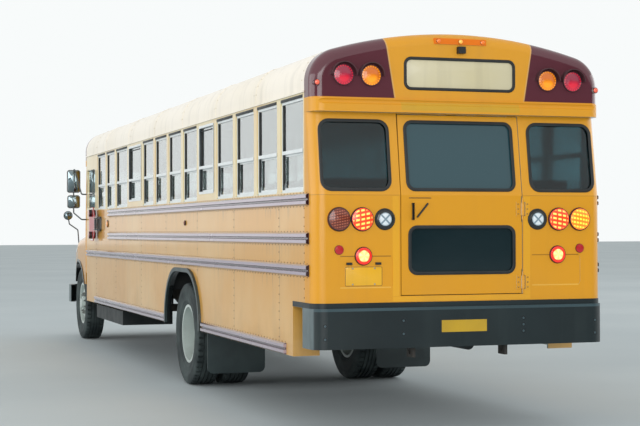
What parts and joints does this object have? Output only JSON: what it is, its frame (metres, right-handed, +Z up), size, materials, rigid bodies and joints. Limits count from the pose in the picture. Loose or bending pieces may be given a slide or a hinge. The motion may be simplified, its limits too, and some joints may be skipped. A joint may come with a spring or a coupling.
{
  "type": "school bus",
  "caption": "Conventional full-size school bus with doors, steering, wheels, bonnet, roof hatches and stop arm that move.",
  "frame": {"origin": "on the road under the middle of the bus, halfway between its bumpers", "axes": "+X forward, +Y to the bus's left, +Z up"},
  "size_m": [12.33, 2.9, 3.189],
  "materials": {
    "body_yellow": "gloss",
    "roof_white": "gloss",
    "rail_maroon": "gloss",
    "black_paint": "satin",
    "chassis_black": "satin",
    "wheel_grey": "satin",
    "tyre_rubber": "matte",
    "flap_rubber": "matte",
    "window_glass": "polished",
    "sash_aluminium": "satin",
    "lamp_plastic": "gloss",
    "headlamp_lens": "gloss",
    "grille_black": "satin",
    "seat_vinyl": "satin",
    "floor_black": "matte",
    "dash_plastic": "satin",
    "stop_red": "gloss",
    "hatch_white": "satin",
    "spring_steel": "satin",
    "tank_steel": "satin"
  },
  "bodies": {
    "coach": {"floor": "floor_black", "left_side_wall": "body_yellow", "right_side_wall": "body_yellow", "rear_wall": "body_yellow", "rear_cap": "body_yellow", "roof": "roof_white", "front_wall": "body_yellow", "front_cap": "body_yellow", "window_frames": "sash_aluminium", "glazing": "window_glass", "rub_rails": "rail_maroon", "rear_bumper": "black_paint", "front_bumper": "black_paint", "chassis_frame": "chassis_black", "front_axle": "chassis_black", "rear_axle": "chassis_black", "leaf_springs": "spring_steel", "exhaust": "tank_steel", "tank_and_battery_box": "black_paint", "engine": "chassis_black", "mud_flaps": "flap_rubber", "seats": "seat_vinyl", "driver_controls": "dash_plastic", "mirrors": "black_paint", "stop_arm_bracket": "black_paint", "lamps": "lamp_plastic"},
    "rear_door": {"emergency_door": "body_yellow"},
    "entrance_door_rear": {"entrance_rear_leaf": "black_paint"},
    "entrance_door_front": {"entrance_front_leaf": "black_paint"},
    "rear_hatch": {"rear_roof_hatch": "hatch_white"},
    "front_hatch": {"front_roof_hatch": "hatch_white"},
    "stop_sign": {"stop_arm": "stop_red"},
    "bonnet": {"hood": "body_yellow", "grille": "grille_black", "headlamps": "headlamp_lens"},
    "left_steering": {"left_knuckle": "chassis_black"},
    "right_steering": {"right_knuckle": "chassis_black"},
    "front_left_wheel": {"front_left_tyre": "tyre_rubber", "front_left_rim": "wheel_grey"},
    "front_right_wheel": {"front_right_tyre": "tyre_rubber", "front_right_rim": "wheel_grey"},
    "rear_left_wheels": {"rear_left_tyres": "tyre_rubber", "rear_left_rims": "wheel_grey"},
    "rear_right_wheels": {"rear_right_tyres": "tyre_rubber", "rear_right_rims": "wheel_grey"}
  },
  "joints": [
    {"name": "rear_left_roll", "type": "hinge", "parent": "coach", "child": "rear_left_wheels", "pos_m": [-1.685, 0.87, 0.525], "axis": [0, 1, 0], "continuous": true},
    {"name": "rear_right_roll", "type": "hinge", "parent": "coach", "child": "rear_right_wheels", "pos_m": [-1.685, -0.87, 0.525], "axis": [0, 1, 0], "continuous": true},
    {"name": "left_steer", "type": "hinge", "parent": "coach", "child": "left_steering", "pos_m": [5.245, 0.86, 0.525], "axis": [0, 0, 1], "range_deg": [-38, 38]},
    {"name": "right_steer", "type": "hinge", "parent": "coach", "child": "right_steering", "pos_m": [5.245, -0.86, 0.525], "axis": [0, 0, 1], "range_deg": [-38, 38]},
    {"name": "front_left_roll", "type": "hinge", "parent": "left_steering", "child": "front_left_wheel", "pos_m": [5.245, 1.02, 0.525], "axis": [0, 1, 0], "continuous": true},
    {"name": "front_right_roll", "type": "hinge", "parent": "right_steering", "child": "front_right_wheel", "pos_m": [5.245, -1.02, 0.525], "axis": [0, 1, 0], "continuous": true},
    {"name": "rear_door_swing", "type": "hinge", "parent": "coach", "child": "rear_door", "pos_m": [-6.135, -0.516, 1.79], "axis": [0, 0, 1], "range_deg": [0, 110]},
    {"name": "entrance_rear_swing", "type": "hinge", "parent": "coach", "child": "entrance_door_rear", "pos_m": [3.565, -1.219, 1.4], "axis": [0, 0, 1], "range_deg": [-90, 0]},
    {"name": "entrance_front_swing", "type": "hinge", "parent": "coach", "child": "entrance_door_front", "pos_m": [4.305, -1.219, 1.4], "axis": [0, 0, 1], "range_deg": [0, 90]},
    {"name": "rear_hatch_tilt", "type": "hinge", "parent": "coach", "child": "rear_hatch", "pos_m": [-2.4, 0, 3.171], "axis": [0, 1, 0], "range_deg": [0, 75]},
    {"name": "front_hatch_tilt", "type": "hinge", "parent": "coach", "child": "front_hatch", "pos_m": [2.05, 0, 3.171], "axis": [0, 1, 0], "range_deg": [0, 75]},
    {"name": "stop_arm_swing", "type": "hinge", "parent": "coach", "child": "stop_sign", "pos_m": [3.255, 1.279, 1.69], "axis": [0, 0, 1], "range_deg": [0, 90]},
    {"name": "bonnet_tilt", "type": "hinge", "parent": "coach", "child": "bonnet", "pos_m": [5.96, 0, 0.86], "axis": [0, 1, 0], "range_deg": [0, 65]}
  ],
  "couplings": [
    {"joint": "right_steer", "follows": "left_steer", "ratio": 1},
    {"joint": "entrance_front_swing", "follows": "entrance_rear_swing", "ratio": -1}
  ]
}
